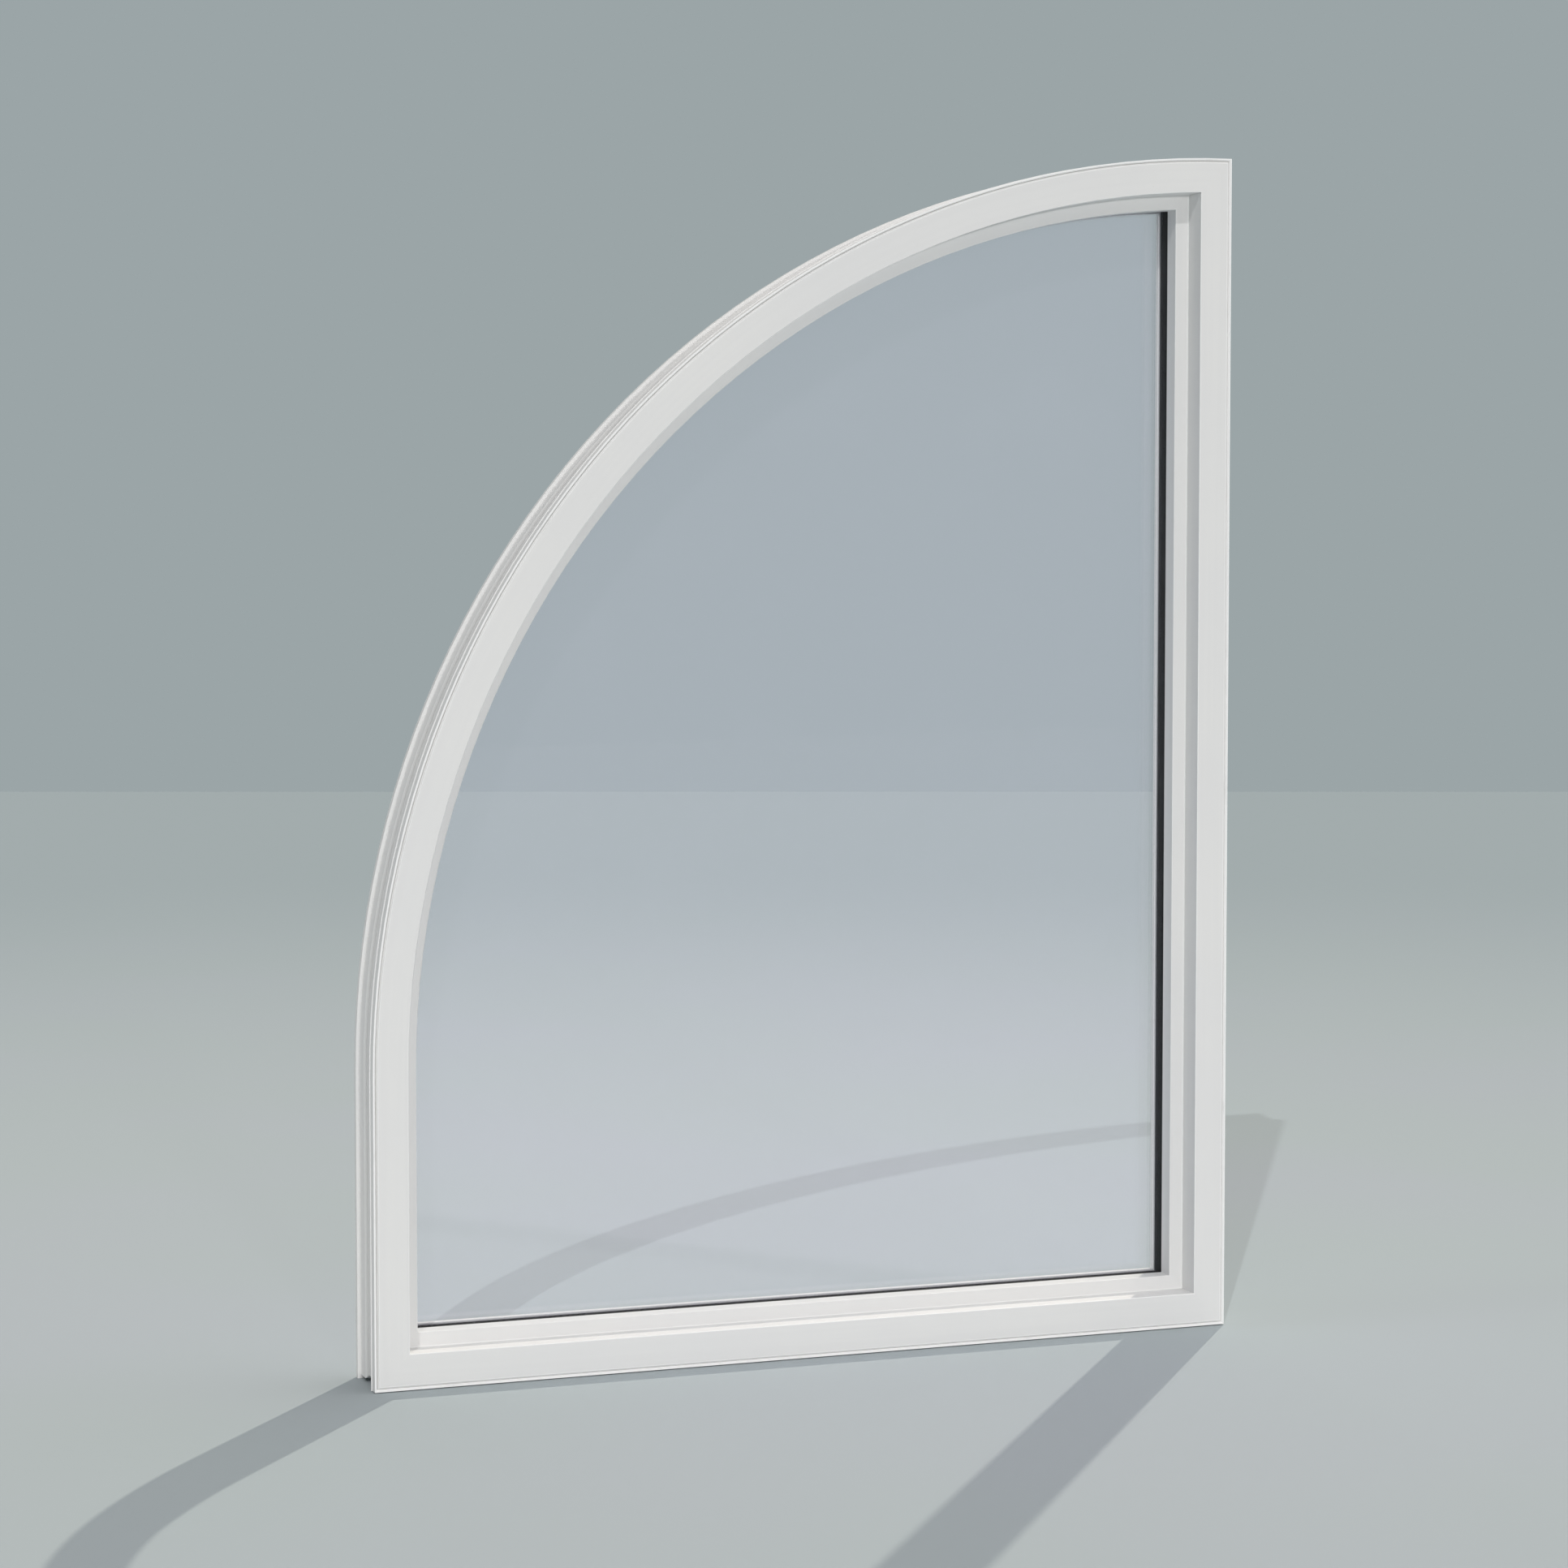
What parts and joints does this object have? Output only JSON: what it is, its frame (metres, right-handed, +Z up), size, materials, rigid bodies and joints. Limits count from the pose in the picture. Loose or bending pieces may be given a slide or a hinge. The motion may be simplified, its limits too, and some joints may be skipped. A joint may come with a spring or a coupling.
{
  "type": "quarter round window",
  "caption": "Fixed quarter round window: straight leg, tall jamb and quarter circle head, with a moulded frame, fixed sash, double glazing and room-side beads.",
  "frame": {"origin": "middle of the width and depth, at the bottom of the window, where it stands on its sill", "axes": "+Z up along the straight jamb, +X towards the straight jamb seen from the front, -Y out of the front face"},
  "size_m": [0.9144, 0.0762, 1.2192],
  "materials": {
    "frame_vinyl": "satin white, smooth extruded",
    "sash_vinyl": "satin white, smooth extruded",
    "bead_vinyl": "satin white, smooth extruded",
    "glazing_tape": "matte black foam",
    "spacer_bar": "matte black",
    "glass": "clear, very light cool tint",
    "sealant": "matte black",
    "setting_block": "matte black"
  },
  "bodies": {
    "root": {"frame_sill": "frame_vinyl", "frame_jamb_right": "frame_vinyl", "frame_leg_left": "frame_vinyl", "frame_head_arch": "frame_vinyl", "sash_bottom_rail": "sash_vinyl", "sash_stile_right": "sash_vinyl", "sash_stile_left": "sash_vinyl", "sash_arch_rail": "sash_vinyl", "bead_bottom": "bead_vinyl", "bead_right": "bead_vinyl", "bead_left": "bead_vinyl", "bead_arch": "bead_vinyl", "tape_outer_bottom": "glazing_tape", "tape_outer_right": "glazing_tape", "tape_outer_left": "glazing_tape", "tape_outer_arch": "glazing_tape", "tape_inner_bottom": "glazing_tape", "tape_inner_right": "glazing_tape", "tape_inner_left": "glazing_tape", "tape_inner_arch": "glazing_tape", "spacer_bottom": "spacer_bar", "spacer_right": "spacer_bar", "spacer_left": "spacer_bar", "spacer_arch": "spacer_bar", "glass_outer_pane": "glass", "glass_inner_pane": "glass", "edge_sealant": "sealant", "setting_block_left": "setting_block", "setting_block_right": "setting_block"}
  },
  "joints": []
}
